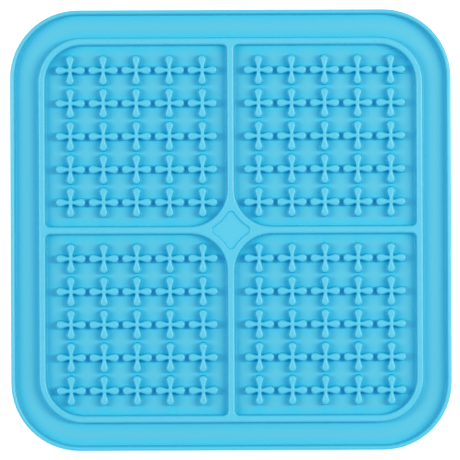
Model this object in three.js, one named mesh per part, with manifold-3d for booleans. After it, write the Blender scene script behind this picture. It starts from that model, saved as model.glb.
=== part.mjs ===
// A square silicone lick mat: one moulded piece that lies flat.
// Millimetres, +Z up, origin at the centre of the underside.
import * as THREE from 'three';
import Module from 'manifold-3d';

const quarterTurn = Math.PI / 2;

// Whole mat
const matSide = 200;
const rimTop = 8;
const outerCornerRadius = 31;

// Outer rim and the moat inside it
const outerRimTopWidth = 1.8;
const moatFloor = 2.5;
const moatFootHalf = 97.7;

// Inner rim, measured at its outer and inner edges
const innerRimOuterTopHalf = 87.2;
const innerRimOuterFootHalf = 87.6;
const innerRimInnerTopHalf = 84.3;
const innerRimInnerFootHalf = 83.9;
const innerRimCornerCentre = 67.1;

// Ribs that part the four pockets
const ribTopHalf = 1.5;
const ribFootHalf = 1.9;
const pocketFloor = 2.5;
const middleCornerRadius = 17;
const smallCornerRadius = 2.2;

// Diamond recess where the ribs cross
const diamondDepth = 1;
const diamondSideRadius = 20.1;
const diamondTipRadius = 1.75;

// Crosses that stand in the pockets
const crossesPerSide = 5;
const crossPitch = 15;
const firstCross = 12.75;
const crossTop = 7.5;
const petalRadius = 1.76;
const petalCentre = 4.88;
const petalWrap = quarterTurn + 0.2;
const petalCrotch = 0.7;
const crossDraft = 0.2;

// Steps along curves
const largeArcSteps = 9;
const smallArcSteps = 3;
const sideArcSteps = 4;
const petalArcSteps = 4;

// How far a cutting or joining body runs past the surface it meets
const overlap = 1;

// Points of an arc from one angle to another, both ends included.
function arc(x, y, radius, from, to, steps) {
  const points = [];
  for (let i = 0; i <= steps; i += 1) {
    const angle = from + (to - from) * i / steps;
    points.push(new THREE.Vector2(x + radius * Math.cos(angle), y + radius * Math.sin(angle)));
  }
  return points;
}

// A rectangle with a radius of its own at each corner, anticlockwise from the lower right.
function roundedOutline(low, high, radii, steps) {
  const corners = [[high, low], [high, high], [low, high], [low, low]];
  const points = [];
  corners.forEach(([x, y], i) => {
    const radius = radii[i];
    const centreX = x === high ? high - radius : low + radius;
    const centreY = y === high ? high - radius : low + radius;
    const from = (i - 1) * quarterTurn;
    points.push(...arc(centreX, centreY, radius, from, from + quarterTurn, steps[i]));
  });
  return points;
}

// A square centred on the mat, with one radius at all corners.
function squareOutline(half, radius) {
  return roundedOutline(-half, half, Array(4).fill(radius), Array(4).fill(largeArcSteps));
}

// A closed body through outlines of equal point count, each at its own height.
function loft(levels) {
  const count = levels[0].outline.length;
  const positions = [];
  for (const { z, outline } of levels) {
    for (const point of outline) {
      positions.push(point.x, point.y, z);
    }
  }
  const faces = [];
  for (let level = 0; level + 1 < levels.length; level += 1) {
    for (let i = 0; i < count; i += 1) {
      const a = level * count + i;
      const b = level * count + (i + 1) % count;
      faces.push(a, b, b + count, a, b + count, a + count);
    }
  }
  const last = (levels.length - 1) * count;
  for (const [a, b, c] of THREE.ShapeUtils.triangulateShape(levels[0].outline, [])) {
    faces.push(c, b, a);
  }
  for (const [a, b, c] of THREE.ShapeUtils.triangulateShape(levels.at(-1).outline, [])) {
    faces.push(last + a, last + b, last + c);
  }
  const geometry = new THREE.BufferGeometry();
  geometry.setAttribute('position', new THREE.Float32BufferAttribute(positions, 3));
  geometry.setIndex(faces);
  return geometry;
}

const wasm = await Module();
wasm.setup();

function toSolid(geometry) {
  const vertProperties = new Float32Array(geometry.attributes.position.array);
  const triVerts = new Uint32Array(geometry.index.array);
  return new wasm.Manifold(new wasm.Mesh({ numProp: 3, vertProperties, triVerts }));
}

function toGeometry(solid) {
  const mesh = solid.getMesh();
  const geometry = new THREE.BufferGeometry();
  geometry.setAttribute('position', new THREE.BufferAttribute(mesh.vertProperties, 3));
  geometry.setIndex(new THREE.BufferAttribute(mesh.triVerts, 1));
  geometry.computeVertexNormals();
  return geometry;
}

// A body whose walls slope from its foot to its top, and stand upright past either end.
function tapered(foot, top, below, above) {
  const levels = [foot, top];
  if (below > 0) {
    levels.unshift({ z: foot.z - below, outline: foot.outline });
  }
  if (above > 0) {
    levels.push({ z: top.z + above, outline: top.outline });
  }
  return toSolid(loft(levels));
}

function slab() {
  const outline = squareOutline(matSide / 2, outerCornerRadius);
  return toSolid(loft([{ z: 0, outline }, { z: rimTop, outline }]));
}

// The groove between the outer rim and the inner rim.
function moat() {
  const cornerCentre = matSide / 2 - outerCornerRadius;
  const topHalf = matSide / 2 - outerRimTopWidth;
  const outside = tapered(
    { z: moatFloor, outline: squareOutline(moatFootHalf, moatFootHalf - cornerCentre) },
    { z: rimTop, outline: squareOutline(topHalf, topHalf - cornerCentre) },
    0,
    overlap,
  );
  const footHalf = innerRimOuterFootHalf;
  const rimHalf = innerRimOuterTopHalf;
  const island = tapered(
    { z: moatFloor, outline: squareOutline(footHalf, footHalf - innerRimCornerCentre) },
    { z: rimTop, outline: squareOutline(rimHalf, rimHalf - innerRimCornerCentre) },
    overlap,
    2 * overlap,
  );
  return outside.subtract(island);
}

// One pocket in the +X +Y quarter: wide curves at the mat's corner and at its middle.
function pocketOutline(low, high) {
  const outerRadius = high - innerRimCornerCentre;
  const middleRadius = middleCornerRadius + ribTopHalf - low;
  const radii = [smallCornerRadius, outerRadius, smallCornerRadius, middleRadius];
  return roundedOutline(low, high, radii, [smallArcSteps, largeArcSteps, smallArcSteps, largeArcSteps]);
}

function pocket() {
  return tapered(
    { z: pocketFloor, outline: pocketOutline(ribFootHalf, innerRimInnerFootHalf) },
    { z: rimTop, outline: pocketOutline(ribTopHalf, innerRimInnerTopHalf) },
    0,
    overlap,
  );
}

// The diamond's sides curve inwards, parallel to the pockets' curves, and its tips are rounded.
function diamond() {
  const sideCentre = ribTopHalf + middleCornerRadius;
  const reach = diamondSideRadius + diamondTipRadius;
  const tipCentre = sideCentre - Math.sqrt(reach ** 2 - sideCentre ** 2);
  const tipHalfAngle = Math.acos((sideCentre - tipCentre) / reach);
  const outline = [];
  for (let quarter = 0; quarter < 4; quarter += 1) {
    const turn = quarter * quarterTurn;
    const tip = arc(tipCentre, 0, diamondTipRadius, -tipHalfAngle, tipHalfAngle, sideArcSteps);
    const from = Math.PI + tipHalfAngle;
    const to = Math.PI + quarterTurn - tipHalfAngle;
    const side = arc(sideCentre, sideCentre, diamondSideRadius, from, to, sideArcSteps);
    const points = [...tip, ...side.slice(1, -1)];
    outline.push(...points.map((point) => point.rotateAround(new THREE.Vector2(), turn)));
  }
  return toSolid(loft([
    { z: rimTop - diamondDepth, outline },
    { z: rimTop + overlap, outline },
  ]));
}

// A cross of four drop-shaped petals, each a narrow waist that ends in a round bulb.
function crossOutline(growth) {
  const radius = petalRadius + growth;
  const crotch = petalCrotch + growth;
  const outline = [];
  for (let quarter = 0; quarter < 4; quarter += 1) {
    const turn = quarter * quarterTurn;
    const bulb = arc(petalCentre, 0, radius, -petalWrap, petalWrap, petalArcSteps);
    const points = [...bulb, new THREE.Vector2(crotch, crotch)];
    outline.push(...points.map((point) => point.rotateAround(new THREE.Vector2(), turn)));
  }
  return outline;
}

function cross() {
  return tapered(
    { z: pocketFloor, outline: crossOutline(crossDraft) },
    { z: crossTop, outline: crossOutline(0) },
    overlap,
    0,
  );
}

function mat() {
  let solid = slab().subtract(moat()).subtract(diamond());
  const quarterPocket = pocket();
  for (const degrees of [0, 90, 180, 270]) {
    solid = solid.subtract(quarterPocket.rotate([0, 0, degrees]));
  }
  const oneCross = cross();
  const crosses = [];
  for (const signX of [-1, 1]) {
    for (const signY of [-1, 1]) {
      for (let column = 0; column < crossesPerSide; column += 1) {
        for (let row = 0; row < crossesPerSide; row += 1) {
          const x = signX * (firstCross + column * crossPitch);
          const y = signY * (firstCross + row * crossPitch);
          crosses.push(oneCross.translate([x, y, 0]));
        }
      }
    }
  }
  for (const each of crosses) {
    solid = solid.add(each);
  }
  return toGeometry(solid);
}

const silicone = new THREE.MeshStandardMaterial({ color: 0x4fb9dc, roughness: 0.55, metalness: 0 });

const matMesh = new THREE.Mesh(mat(), silicone);
matMesh.name = 'mat';

const part = new THREE.Group();
part.add(matMesh);

export default part;
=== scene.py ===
import math

import bmesh
import bpy
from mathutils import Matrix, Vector
from mathutils.geometry import tessellate_polygon


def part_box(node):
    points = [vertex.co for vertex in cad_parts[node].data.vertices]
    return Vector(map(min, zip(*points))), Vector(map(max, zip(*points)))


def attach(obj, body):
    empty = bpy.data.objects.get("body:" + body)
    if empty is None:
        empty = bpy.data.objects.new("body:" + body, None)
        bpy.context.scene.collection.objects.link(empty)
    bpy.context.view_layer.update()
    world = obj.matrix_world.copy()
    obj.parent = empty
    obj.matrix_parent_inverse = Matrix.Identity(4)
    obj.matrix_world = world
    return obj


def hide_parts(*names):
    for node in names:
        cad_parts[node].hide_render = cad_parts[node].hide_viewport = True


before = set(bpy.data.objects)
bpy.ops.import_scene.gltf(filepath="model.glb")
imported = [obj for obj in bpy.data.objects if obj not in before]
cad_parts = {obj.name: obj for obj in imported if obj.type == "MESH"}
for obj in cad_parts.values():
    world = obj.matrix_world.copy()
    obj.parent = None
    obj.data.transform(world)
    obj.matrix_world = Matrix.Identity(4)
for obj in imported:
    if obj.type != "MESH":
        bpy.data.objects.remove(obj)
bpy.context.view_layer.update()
matLow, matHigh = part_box("mat")

mm = 0.001
quarterTurn = math.pi / 2
side = (matHigh.x - matLow.x) / mm  # outlines are worked out in millimetres, and meshes in metres
top = matHigh.z / mm
print("frame loaded: the mat is", round(side), "mm a side and", round(top, 1), "mm high")


# Node trees: a socket that takes Python's own arithmetic, and one method that adds any node.

class Wire:
    def __init__(self, graph, socket):
        self.graph = graph
        self.socket = socket

    def maths(self, operation, first, second):
        return self.graph.add("ShaderNodeMath", {"operation": operation}, {0: first, 1: second})

    def __add__(self, other):
        return self.maths("ADD", self, other)

    def __radd__(self, other):
        return self.maths("ADD", other, self)

    def __sub__(self, other):
        return self.maths("SUBTRACT", self, other)

    def __rsub__(self, other):
        return self.maths("SUBTRACT", other, self)

    def __mul__(self, other):
        return self.maths("MULTIPLY", self, other)

    def __rmul__(self, other):
        return self.maths("MULTIPLY", other, self)


class Graph:
    def __init__(self, tree):
        self.tree = tree

    def add(self, kind, settings=None, inputs=None, output=0):
        node = self.tree.nodes.new(kind)
        for name, value in (settings or {}).items():
            setattr(node, name, value)
        for name, value in (inputs or {}).items():
            if isinstance(value, Wire):
                self.tree.links.new(value.socket, node.inputs[name])
            else:
                node.inputs[name].default_value = value
        return Wire(self, node.outputs[output]) if len(node.outputs) else node


# Outlines in plan. Each takes an offset, so that its loops stay parallel from foot to top.

def arcPoints(x, y, radius, start, end, steps):
    angles = [start + (end - start) * i / steps for i in range(steps + 1)]
    return [Vector((x + radius * math.cos(a), y + radius * math.sin(a))) for a in angles]


def ringPoints(x, y, radius, sides):  # a whole ring, without a double of its first point
    return arcPoints(x, y, radius, 0, 2 * math.pi * (sides - 1) / sides, sides - 1)


def turned(points, quarter):  # by so many quarter turns about the middle of the mat or cross
    c, s = [(1, 0), (0, 1), (-1, 0), (0, -1)][quarter]
    return [Vector((c * p.x - s * p.y, s * p.x + c * p.y)) for p in points]


def roundedLoop(low, high, radii, steps):
    corners = [(high, low), (high, high), (low, high), (low, low)]
    points = []
    for i, (x, y) in enumerate(corners):
        radius = radii[i]
        centreX = x - radius if x == high else x + radius
        centreY = y - radius if y == high else y + radius
        start = (i - 1) * quarterTurn
        points += arcPoints(centreX, centreY, radius, start, start + quarterTurn, steps[i])
    return points


def roundedPath(corners, stepsAtEach):  # a profile through (offset, height, radius) corners
    points = [Vector(corners[0][:2])]
    for before, corner, after, steps in zip(corners, corners[1:], corners[2:], stepsAtEach):
        here = Vector(corner[:2])
        back = (Vector(before[:2]) - here).normalized()
        ahead = (Vector(after[:2]) - here).normalized()
        halfAngle = back.angle(ahead) / 2
        centre = here + (back + ahead).normalized() * corner[2] / math.sin(halfAngle)
        reach = corner[2] / math.tan(halfAngle)
        first = (here + back * reach - centre).normalized()
        last = (here + ahead * reach - centre).normalized()
        points += [centre + first.slerp(last, i / steps) * corner[2] for i in range(steps + 1)]
    points.append(Vector(corners[-1][:2]))
    return points


# Mesh making with loops of equal count

def addLoop(mesh, points, height):
    return [mesh.verts.new((p.x * mm, p.y * mm, height * mm)) for p in points]


def bridge(mesh, first, second):
    for i in range(len(first)):
        j = (i + 1) % len(first)
        mesh.faces.new((first[i], first[j], second[j], second[i]))


def stack(mesh, path, loopAt):
    loops = [addLoop(mesh, loopAt(p.x), p.y) for p in path]
    for first, second in zip(loops, loops[1:]):
        bridge(mesh, first, second)
    return loops[0], loops[-1]


def fillFlat(mesh, loops):  # the first loop is the outline, and the others are holes in it
    corners = [v for loop in loops for v in loop]
    triangles = tessellate_polygon([[v.co for v in loop] for loop in loops])
    faces = {mesh.faces.new([corners[i] for i in triangle]) for triangle in triangles}
    inside = {edge for face in faces for edge in face.edges if faces.issuperset(edge.link_faces)}
    inside = [edge for edge in inside if len(edge.link_faces) == 2]
    bmesh.ops.beautify_fill(mesh, faces=list(faces), edges=inside)  # no slivers, which shade badly


def objectFrom(mesh, name):
    bmesh.ops.recalc_face_normals(mesh, faces=mesh.faces)
    data = bpy.data.meshes.new(name)
    mesh.to_mesh(data)
    mesh.free()
    made = bpy.data.objects.new(name, data)
    bpy.context.collection.objects.link(made)
    return made


# One cross: four drop-shaped petals with round bulbs, narrow waists and hollow crotches

cross = {
    "perSide": 5,
    "pitch": 15,
    "first": 12.75,  # from the middle of the mat to the nearest row
    "height": 5.0,
    "draft": 0.2,
    "bulbCentre": 4.88,
    "bulbRadius": 1.88,
    "crotch": 0.90,  # how far along both axes the hollow between two petals reaches in
    "crotchRadius": 0.48,
    "leastRadius": 0.12,  # the hollow's radius shrinks towards the foot, and stops here
    "footRounding": 0.2,
    "topRounding": 0.9,
    "ridge": 0.66,  # past this inset the roundings meet along the waists, and only the bulbs go on
    "crown": 0.3,  # half the width of the small flat at the middle
    "seam": 0.08,  # flat margin round the foot, where the cross meets the pocket's floor
    "bulbSteps": 8,
    "crotchSteps": 2,
    "footSteps": 3,
    "topSteps": 5,
    "crownSides": 4,
    "bulbSides": 8,  # of the flat on top of each bulb
}


def crossLoop(growth):
    c = cross
    hollow = c["crotch"] + c["crotchRadius"] * math.sqrt(0.5)
    toHollow = Vector((hollow - c["bulbCentre"], hollow))
    lean = math.acos((c["bulbRadius"] + c["crotchRadius"]) / toHollow.length)
    tangent = math.atan2(toHollow.y, toHollow.x) - lean  # where the bulb runs into the straight flank
    radius = max(c["crotchRadius"] - growth, c["leastRadius"])
    flank = c["bulbCentre"] * math.cos(tangent) + c["bulbRadius"] + growth
    centre = (flank + radius) / (math.cos(tangent) + math.sin(tangent))
    points = []
    for quarter in range(4):
        bulb = arcPoints(c["bulbCentre"], 0, c["bulbRadius"] + growth, -tangent, tangent, c["bulbSteps"])
        crotch = arcPoints(centre, centre, radius,
                           tangent - math.pi, -quarterTurn - tangent, c["crotchSteps"])
        points += turned(bulb + crotch, quarter)
    return points


def makeCross():
    c = cross
    foot = c["draft"] + c["footRounding"] + c["seam"]
    wall = [(foot, 0), (c["draft"], 0, c["footRounding"]), (0, c["height"], c["topRounding"])]
    path = roundedPath(wall + [(-c["topRounding"], c["height"])], [c["footSteps"], c["topSteps"]])
    mesh = bmesh.new()
    shared = [p for p in path if p.x > -c["ridge"]]
    outline = stack(mesh, shared, crossLoop)[1]
    islands = [addLoop(mesh, ringPoints(0, 0, c["crown"], c["crownSides"]), c["height"])]
    for quarter in range(4):
        bulb = ringPoints(c["bulbCentre"], 0, c["bulbRadius"] - c["topRounding"], c["bulbSides"])
        islands.append(addLoop(mesh, turned(bulb, quarter), c["height"]))
    fillFlat(mesh, [outline] + islands)
    for island in islands:
        fillFlat(mesh, [island])
    return objectFrom(mesh, "crossMaster"), foot


# The tray: base, outer rim, moat, inner rim, ribs and the diamond between them

tray = {
    "floor": 2.5,
    "outerCorner": 31,
    "outerRimTop": 1.9,
    "outerRimFoot": 2.3,
    "innerRimOuterTop": 87.3,
    "innerRimOuterFoot": 87.6,
    "innerRimCorner": 67.1,  # centre of the inner rim's rounded corners
    "pocketLow": 1.6,
    "pocketHigh": 84.2,
    "pocketDraft": 0.4,
    "middleRadius": 17,
    "smallRadius": 2.2,
    "diamondDepth": 1.0,
    "diamondDraft": 0.3,
    "diamondSide": 20.1,
    "diamondTip": 1.95,
    "edge": 0.85,  # rounding along the top edges
    "underEdge": 0.5,
    "recessEdge": 0.55,
    "recessFoot": 0.45,
    "foot": 0.25,  # rounding where walls meet floors
    "seam": 0.2,
    "cornerSteps": 16,
    "smallSteps": 6,
    "roundingSteps": 4,
    "weld": 0.005,  # joins the crosses' feet to the holes in the pockets' floors
}


def squareLoop(half, cornerCentre):
    return roundedLoop(-half, half, [half - cornerCentre] * 4, [tray["cornerSteps"]] * 4)


def pocketLoop(inset):
    t = tray
    low, high = t["pocketLow"] + inset, t["pocketHigh"] - inset
    wide, small = t["middleRadius"] - inset, t["smallRadius"] - inset
    steps = [t["smallSteps"], t["cornerSteps"]] * 2
    return roundedLoop(low, high, [small, high - t["innerRimCorner"], small, wide], steps)


def diamondLoop(inset):
    t = tray
    centre = t["pocketLow"] + t["middleRadius"]
    reach = t["diamondSide"] + t["diamondTip"]
    tipCentre = centre - math.sqrt(reach ** 2 - centre ** 2)
    tipAngle = math.acos((centre - tipCentre) / reach)
    points = []
    for quarter in range(4):
        tip = arcPoints(tipCentre, 0, t["diamondTip"] - inset, -tipAngle, tipAngle, t["smallSteps"])
        flank = arcPoints(centre, centre, t["diamondSide"] + inset,
                          math.pi + tipAngle, math.pi + quarterTurn - tipAngle, t["smallSteps"])
        points += turned(tip + flank[1:-1], quarter)
    return points


def makeTray(crossFoot):
    t, c = tray, cross
    half = side / 2
    mesh = bmesh.new()
    outerPath = roundedPath([
        (half - t["underEdge"] - t["seam"], 0),
        (half, 0, t["underEdge"]),
        (half, top, t["edge"]),
        (half - t["outerRimTop"], top, t["edge"]),
        (half - t["outerRimFoot"], t["floor"], t["foot"]),
        (half - t["outerRimFoot"] - t["foot"] - t["seam"], t["floor"]),
    ], [t["roundingSteps"]] * 4)
    underside, moatOutside = stack(mesh, outerPath, lambda u: squareLoop(u, half - t["outerCorner"]))
    innerPath = roundedPath([
        (t["innerRimOuterFoot"] + t["foot"] + t["seam"], t["floor"]),
        (t["innerRimOuterFoot"], t["floor"], t["foot"]),
        (t["innerRimOuterTop"], top, t["edge"]),
        (t["innerRimOuterTop"] - t["edge"] - t["seam"], top),
    ], [t["roundingSteps"]] * 2)
    moatInside, rimTop = stack(mesh, innerPath, lambda u: squareLoop(u, t["innerRimCorner"]))
    bridge(mesh, moatOutside, moatInside)
    fillFlat(mesh, [underside])

    pocketPath = roundedPath([
        (-t["edge"] - t["seam"], top),
        (0, top, t["edge"]),
        (t["pocketDraft"], t["floor"], t["foot"]),
        (t["pocketDraft"] + t["foot"] + t["seam"], t["floor"]),
    ], [t["roundingSteps"]] * 2)
    holesInTop = []
    for quarter in range(4):
        edge, floor = stack(mesh, pocketPath, lambda inset: turned(pocketLoop(inset), quarter))
        holesInTop.append(edge)
        feet = []
        for column in range(c["perSide"]):
            for row in range(c["perSide"]):
                place = Vector((c["first"] + column * c["pitch"], c["first"] + row * c["pitch"]))
                foot = turned([p + place for p in crossLoop(crossFoot)], quarter)
                feet.append(addLoop(mesh, foot, t["floor"]))
        fillFlat(mesh, [floor] + feet)

    diamondPath = roundedPath([
        (-t["recessEdge"] - t["seam"], top),
        (0, top, t["recessEdge"]),
        (t["diamondDraft"], top - t["diamondDepth"], t["recessFoot"]),
        (t["diamondDraft"] + t["recessFoot"] + t["seam"], top - t["diamondDepth"]),
    ], [t["roundingSteps"]] * 2)
    edge, recess = stack(mesh, diamondPath, diamondLoop)
    fillFlat(mesh, [rimTop] + holesInTop + [edge])
    fillFlat(mesh, [recess])
    return objectFrom(mesh, "mouldedTray")


# Silicone: satin, slightly see-through at its edges, with a fine matt grain from the mould; its colour
# deepens and its coat's shine fades where walls shelter it, which is painted shade

silicone = {
    "litColour": (0.063, 0.46, 0.635, 1),  # lit top faces; the colour where no shade is painted
    "paintedShadeColour": (0.001, 0.545, 0.815, 1),  # painted shade colour for the feet of walls and gaps between petals
    "paintedShadeReach": 5 * mm,
    "paintedShadeRays": 8,
    "paintedShadeSlope": 1.03,  # how fast the painted shade deepens the colour with shelter
    "cloudShare": 0.06,
    "gloss": 0.1,
    "refraction": 1.45,
    "skinRefraction": 1.56,  # the coat's shine on open faces; its fading where sheltered is painted shade on the reflection
    "skinRoughness": 0.38,
    "coatShadeSlope": 1.35,  # how fast the painted shade fades the coat's shine as the colour deepens
    "roughness": (0.40, 0.48),
    "cloud": (22, 3),  # scale and detail of each noise
    "grain": (2600, 2),
    "ripple": (70, 1),
    "grainShare": 0.4,  # of the change in roughness; the rest is cloud
    "grainDepth": 0.004 * mm,
    "rippleDepth": 0.10 * mm,
    "bumpStrength": 1.0,
    "bumpDistance": 1.0,  # the depths above are in metres already
    "scatter": 0.04,
    "scatterReach": (0.4 * mm, 1.2 * mm, 1.8 * mm),
    "scatterScale": 1.0,
}


def makeSilicone():
    s = silicone
    material = bpy.data.materials.new("blueSilicone")
    material.use_nodes = True
    material.node_tree.nodes.clear()
    g = Graph(material.node_tree)
    place = g.add("ShaderNodeTexCoord", output="Object")
    cloud, grain, ripple = [
        g.add("ShaderNodeTexNoise", inputs={"Vector": place, "Scale": scale, "Detail": detail})
        for scale, detail in (s["cloud"], s["grain"], s["ripple"])]
    # painted shade: ambient occlusion mixes the base colour towards a deeper, more saturated blue where
    # walls and petals shelter the surface
    openness = g.add("ShaderNodeAmbientOcclusion", {"samples": s["paintedShadeRays"], "only_local": True},
                     {"Distance": s["paintedShadeReach"]}, output="AO")
    litAndCloudShare = 1 - (1 - openness) * s["paintedShadeSlope"] - cloud * s["cloudShare"]
    shadeAndCloudTint = g.add("ShaderNodeMix", {"data_type": "RGBA"},  # its colours are inputs 6 and 7 and output 2
                 {"Factor": litAndCloudShare, 6: s["paintedShadeColour"], 7: s["litColour"]}, output=2)
    # painted shade on the reflection: the coat's weight falls where the shelter mask deepens the colour
    coatShadeFade = g.add("ShaderNodeClamp", inputs={"Value": 1 - (1 - litAndCloudShare) * s["coatShadeSlope"]})
    smooth, rough = s["roughness"]
    patches = cloud * (1 - s["grainShare"]) + grain * s["grainShare"]
    roughness = smooth + (rough - smooth) * patches
    height = grain * s["grainDepth"] + ripple * s["rippleDepth"]
    bump = g.add("ShaderNodeBump", inputs={
        "Height": height, "Distance": s["bumpDistance"], "Strength": s["bumpStrength"]})
    shader = g.add("ShaderNodeBsdfPrincipled", inputs={
        "Base Color": shadeAndCloudTint,
        "Roughness": roughness,
        "Normal": bump,
        "IOR": s["refraction"],
        "Specular IOR Level": s["gloss"],
        "Coat Weight": coatShadeFade,
        "Coat Roughness": s["skinRoughness"],
        "Coat IOR": s["skinRefraction"],
        "Subsurface Weight": s["scatter"],
        "Subsurface Radius": s["scatterReach"],
        "Subsurface Scale": s["scatterScale"],
    })
    g.add("ShaderNodeOutputMaterial", inputs={"Surface": shader})
    return material


# The mat: the tray joined to its crosses, which Geometry Nodes set out in the four pockets

def crossField():
    tree = bpy.data.node_groups.new("crossField", "GeometryNodeTree")
    g = Graph(tree)
    sockets = tree.interface
    sockets.new_socket("Tray", in_out="INPUT", socket_type="NodeSocketGeometry")
    for name, kind in (("Cross", "Object"), ("Per side", "Int"), ("Pitch", "Float"), ("First row", "Float"),
                       ("Floor height", "Float"), ("Weld", "Float"), ("Material", "Material")):
        sockets.new_socket(name, in_out="INPUT", socket_type="NodeSocket" + kind)
    sockets.new_socket("Mat", in_out="OUTPUT", socket_type="NodeSocketGeometry")
    entry = tree.nodes.new("NodeGroupInput")
    given = {socket.name: Wire(g, socket) for socket in entry.outputs if socket.name}

    fieldWidth = given["Pitch"] * (given["Per side"] - 1)
    pocketGap = given["First row"] * 2 + fieldWidth
    pockets = g.add("GeometryNodeMeshGrid", inputs={  # a grid of four points, one for each pocket
        "Size X": pocketGap, "Size Y": pocketGap, "Vertices X": 2, "Vertices Y": 2})
    rows = g.add("GeometryNodeMeshGrid", inputs={
        "Size X": fieldWidth, "Size Y": fieldWidth,
        "Vertices X": given["Per side"], "Vertices Y": given["Per side"]})
    rowsInPockets = g.add("GeometryNodeInstanceOnPoints", inputs={"Points": pockets, "Instance": rows})
    points = g.add("GeometryNodeRealizeInstances", inputs={"Geometry": rowsInPockets})
    up = g.add("ShaderNodeCombineXYZ", inputs={"Z": given["Floor height"]})
    raised = g.add("GeometryNodeSetPosition", inputs={"Geometry": points, "Offset": up})
    master = g.add("GeometryNodeObjectInfo", {"transform_space": "ORIGINAL"},
                   {"Object": given["Cross"]}, output="Geometry")
    crosses = g.add("GeometryNodeInstanceOnPoints", inputs={"Points": raised, "Instance": master})
    join = tree.nodes.new("GeometryNodeJoinGeometry")
    for piece in (crosses, given["Tray"]):
        tree.links.new(piece.socket, join.inputs[0])
    whole = g.add("GeometryNodeRealizeInstances", inputs={"Geometry": Wire(g, join.outputs[0])})
    welded = g.add("GeometryNodeMergeByDistance", inputs={"Geometry": whole, "Distance": given["Weld"]})
    smooth = g.add("GeometryNodeSetShadeSmooth", inputs={"Geometry": welded})
    finished = g.add("GeometryNodeSetMaterial", inputs={"Geometry": smooth, "Material": given["Material"]})
    leave = tree.nodes.new("NodeGroupOutput")
    tree.links.new(finished.socket, leave.inputs["Mat"])
    return tree


def makeMat():
    master, crossFoot = makeCross()
    print("cross made:", len(master.data.polygons), "faces")
    body = makeTray(crossFoot)
    print("tray made:", len(body.data.polygons), "faces")
    tree = crossField()
    modifier = body.modifiers.new("crossField", "NODES")
    modifier.node_group = tree
    values = {
        "Cross": master,
        "Per side": cross["perSide"],
        "Pitch": cross["pitch"] * mm,
        "First row": cross["first"] * mm,
        "Floor height": tray["floor"] * mm,
        "Weld": tray["weld"] * mm,
        "Material": makeSilicone(),
    }
    for item in tree.interface.items_tree:
        if item.name in values:
            modifier[item.identifier] = values[item.name]
    evaluated = body.evaluated_get(bpy.context.evaluated_depsgraph_get())
    data = bpy.data.meshes.new_from_object(evaluated)
    data.name = "siliconeMat"
    piece = bpy.data.objects.new("siliconeMat", data)
    bpy.context.collection.objects.link(piece)
    for spare in (body, master):
        bpy.data.meshes.remove(spare.data)
    finish = bmesh.new()
    finish.from_mesh(data)
    bmesh.ops.recalc_face_normals(finish, faces=finish.faces)
    openEdges = sum(1 for edge in finish.edges if not edge.is_manifold)
    finish.to_mesh(data)
    finish.free()
    print("mat made:", len(data.polygons), "faces,", openEdges, "open edges")
    return piece


mat = makeMat()
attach(mat, "root")
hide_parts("mat")


# Studio: a pale floor, two broad soft lights overhead at the left and right, and a pale blue surround

studio = {  # in metres and watts
    "floorSize": 6.0,
    "floorColour": (0.90, 0.90, 0.90, 1),
    "floorRoughness": 0.9,
    "floorGlow": 0.52,  # keeps the floor as white as the photograph's background
    "floorGlowColour": (1, 1, 1, 1),
    "surround": 0.85,
    "surroundColour": (0.56, 0.745, 1.0, 1),
    "lightHeight": 1.8,
    "lightAside": 1.485,
    "lightForward": 0.18,
    "lightWidth": 1.7,
    "lightLength": 0.36,
    "lightColour": (1.0, 0.92, 0.63),
    "leftPower": 22.9,
    "rightPower": 36.1,
}


def makeFloor():
    mesh = bmesh.new()
    bmesh.ops.create_grid(mesh, x_segments=1, y_segments=1, size=studio["floorSize"] / 2)
    floor = objectFrom(mesh, "floor")
    material = bpy.data.materials.new("paleFloor")
    material.use_nodes = True
    shader = material.node_tree.nodes["Principled BSDF"]
    shader.inputs["Base Color"].default_value = studio["floorColour"]
    shader.inputs["Roughness"].default_value = studio["floorRoughness"]
    shader.inputs["Emission Color"].default_value = studio["floorGlowColour"]
    shader.inputs["Emission Strength"].default_value = studio["floorGlow"]
    floor.data.materials.append(material)


def makeLight(name, x, y, power):
    s = studio
    lamp = bpy.data.lights.new(name, "AREA")
    lamp.shape = "RECTANGLE"
    lamp.size = s["lightWidth"]
    lamp.size_y = s["lightLength"]
    lamp.energy = power
    lamp.color = s["lightColour"]
    holder = bpy.data.objects.new(name, lamp)
    holder.location = (x, y, s["lightHeight"])
    holder.visible_camera = False
    bpy.context.collection.objects.link(holder)


def makeSurround():
    world = bpy.data.worlds.new("surround")
    world.use_nodes = True
    background = world.node_tree.nodes["Background"]
    background.inputs["Color"].default_value = studio["surroundColour"]
    background.inputs["Strength"].default_value = studio["surround"]
    bpy.context.scene.world = world


makeFloor()
makeLight("leftLight", -studio["lightAside"], studio["lightForward"], studio["leftPower"])
makeLight("rightLight", studio["lightAside"], studio["lightForward"], studio["rightPower"])
makeSurround()
bpy.context.scene.view_settings.view_transform = "Standard"
print("studio lit")


# Camera: straight above, as in the photograph

camera = {
    "distance": 2000,  # in millimetres, from the mat's top
    "pixelsPerMm": 2.2047,  # in the 460 pixel frame, at the height of the rims
    "middleX": 0.92,  # the mat's middle lies this far right of the frame's middle, in pixels
    "middleY": 0.04,  # and this far below it
    "roll": -0.24,  # in degrees
    "sensor": 36,
    "framePixels": 460,
    "farClip": 20,  # in metres, well past the floor's corners
}


def makeCamera():
    c = camera
    lens = bpy.data.cameras.new("camera")
    lens.sensor_width = c["sensor"]
    lens.lens = c["distance"] * c["pixelsPerMm"] * c["sensor"] / c["framePixels"]
    lens.clip_end = c["farClip"]
    holder = bpy.data.objects.new("camera", lens)
    aside = -c["middleX"] / c["pixelsPerMm"]
    ahead = c["middleY"] / c["pixelsPerMm"]
    holder.location = Vector((aside, ahead, c["distance"] + top)) * mm
    holder.rotation_euler = (0, 0, math.radians(c["roll"]))
    bpy.context.collection.objects.link(holder)
    bpy.context.scene.camera = holder


makeCamera()
bpy.context.view_layer.update()
